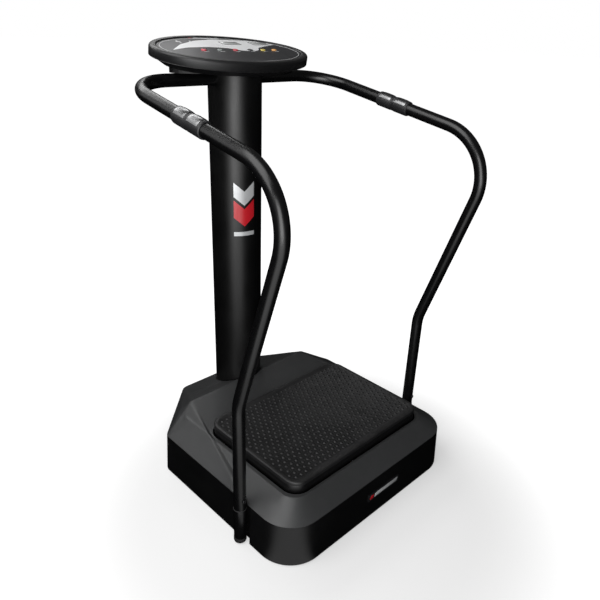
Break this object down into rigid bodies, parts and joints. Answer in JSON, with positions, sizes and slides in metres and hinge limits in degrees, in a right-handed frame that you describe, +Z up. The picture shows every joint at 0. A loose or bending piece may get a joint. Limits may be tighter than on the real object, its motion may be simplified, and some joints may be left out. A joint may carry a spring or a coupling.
{
  "type": "vibration plate",
  "caption": "Oscillating vibration plate with a rubber-topped tilting platform on a low moulded base, a round rear column, an oval console and two curved handrails.",
  "frame": {"origin": "middle of the outline on the floor, under the rubber feet", "axes": "+Z up; the user steps on from -Y, the column stands at +Y; +X to the right of a user facing the console"},
  "size_m": [0.726, 0.77, 1.1757],
  "materials": {
    "gloss_black": "gloss moulded plastic",
    "satin_grey": "satin moulded plastic, faintly metallic",
    "black_plastic": "fine grained black plastic",
    "black_paint": "satin black powder coat",
    "steel": "machined steel",
    "zinc": "zinc plated",
    "chrome": "bright plated",
    "rubber": "black rubber",
    "alu": "cast aluminium",
    "bronze": "sintered bronze",
    "board": "green circuit board",
    "panel": "printed overlay",
    "lcd": "grey display glass",
    "silver": "silver foil",
    "red": "red foil",
    "btn_red": "red button",
    "btn_grey": "grey button",
    "btn_yellow": "yellow button",
    "btn_orange": "orange button"
  },
  "bodies": {
    "frame": {"base_tray": "black_paint", "column_cap": "black_paint", "column_side_bolts": "zinc", "column_socket": "black_paint", "column_stripe_red": "red", "column_stripes_silver": "silver", "column_tube": "black_paint", "console_back": "black_plastic", "console_bezel": "black_plastic", "console_board": "board", "console_bracket": "steel", "console_panel": "panel", "console_windows": "lcd", "control_board": "board", "drive_belt": "rubber", "drive_bracket": "black_paint", "floor_bolts": "zinc", "foot_screws": "zinc", "front_badge": "silver", "handrail_joiner": "steel", "handrail_joiner_bolts": "zinc", "handrail_left": "black_paint", "handrail_right": "black_paint", "m6_screws": "zinc", "motor": "alu", "motor_mount": "black_paint", "pivot_axle": "steel", "pivot_brackets": "black_paint", "power_inlet": "black_plastic", "pulse_housing_left": "black_plastic", "pulse_housing_right": "black_plastic", "pulse_plates": "chrome", "rail_gaskets": "rubber", "rail_post_bolts": "zinc", "rail_post_caps": "rubber", "rail_post_left": "black_paint", "rail_post_right": "black_paint", "rubber_feet": "rubber", "shaft_bearings": "steel", "skirt_cover": "gloss_black", "switch_frame": "black_plastic", "top_cover": "satin_grey"},
    "platform": {"platform_frame": "black_paint", "platform_deck": "black_plastic", "platform_mat": "rubber", "deck_screws": "zinc", "pivot_bushings": "bronze", "rod_pin": "steel"},
    "drive": {"eccentric_shaft": "steel", "drive_pulley": "alu"},
    "link": {"connecting_rod": "alu"},
    "rotor": {"motor_shaft": "steel", "motor_pulley": "alu"},
    "rocker": {"switch_rocker": "btn_red"},
    "button_start": {"button_start": "btn_red"},
    "button_programme": {"button_programme": "btn_grey"},
    "button_stop": {"button_stop": "btn_red"},
    "button_time": {"button_time": "black_plastic"},
    "button_faster": {"button_faster": "btn_yellow"},
    "button_slower": {"button_slower": "btn_orange"}
  },
  "joints": [
    {"name": "platform_tilt", "type": "hinge", "parent": "frame", "child": "platform", "pos_m": [0, -0.137, 0.112], "axis": [0, 1, 0], "range_deg": [-1.6, 1.6], "stiffness_Nm_per_rad": 2500},
    {"name": "drive_spin", "type": "hinge", "parent": "frame", "child": "drive", "pos_m": [-0.11, 0, 0.064], "axis": [0, 1, 0], "continuous": true},
    {"name": "link_turn", "type": "hinge", "parent": "drive", "child": "link", "pos_m": [-0.11, 0, 0.067], "axis": [0, 1, 0], "continuous": true},
    {"name": "motor_spin", "type": "hinge", "parent": "frame", "child": "rotor", "pos_m": [-0.2, 0, 0.064], "axis": [0, 1, 0], "continuous": true},
    {"name": "power_switch", "type": "hinge", "parent": "frame", "child": "rocker", "pos_m": [0.112, 0.32121, 0.078], "axis": [-1, 0, 0], "range_deg": [-20, 0]},
    {"name": "press_start", "type": "slide", "parent": "frame", "child": "button_start", "axis": [0, 0.1788, -0.9839], "range_m": [0, 0.0012], "stiffness_N_per_m": 600},
    {"name": "press_programme", "type": "slide", "parent": "frame", "child": "button_programme", "axis": [0, 0.1788, -0.9839], "range_m": [0, 0.0012], "stiffness_N_per_m": 600},
    {"name": "press_stop", "type": "slide", "parent": "frame", "child": "button_stop", "axis": [0, 0.1788, -0.9839], "range_m": [0, 0.0012], "stiffness_N_per_m": 600},
    {"name": "press_time", "type": "slide", "parent": "frame", "child": "button_time", "axis": [0, 0.1788, -0.9839], "range_m": [0, 0.0012], "stiffness_N_per_m": 600},
    {"name": "press_faster", "type": "slide", "parent": "frame", "child": "button_faster", "axis": [0, 0.1788, -0.9839], "range_m": [0, 0.0012], "stiffness_N_per_m": 600},
    {"name": "press_slower", "type": "slide", "parent": "frame", "child": "button_slower", "axis": [0, 0.1788, -0.9839], "range_m": [0, 0.0012], "stiffness_N_per_m": 600}
  ],
  "couplings": [
    {"joint": "link_turn", "follows": "drive_spin", "ratio": -1},
    {"joint": "motor_spin", "follows": "drive_spin", "ratio": 2.3333}
  ]
}
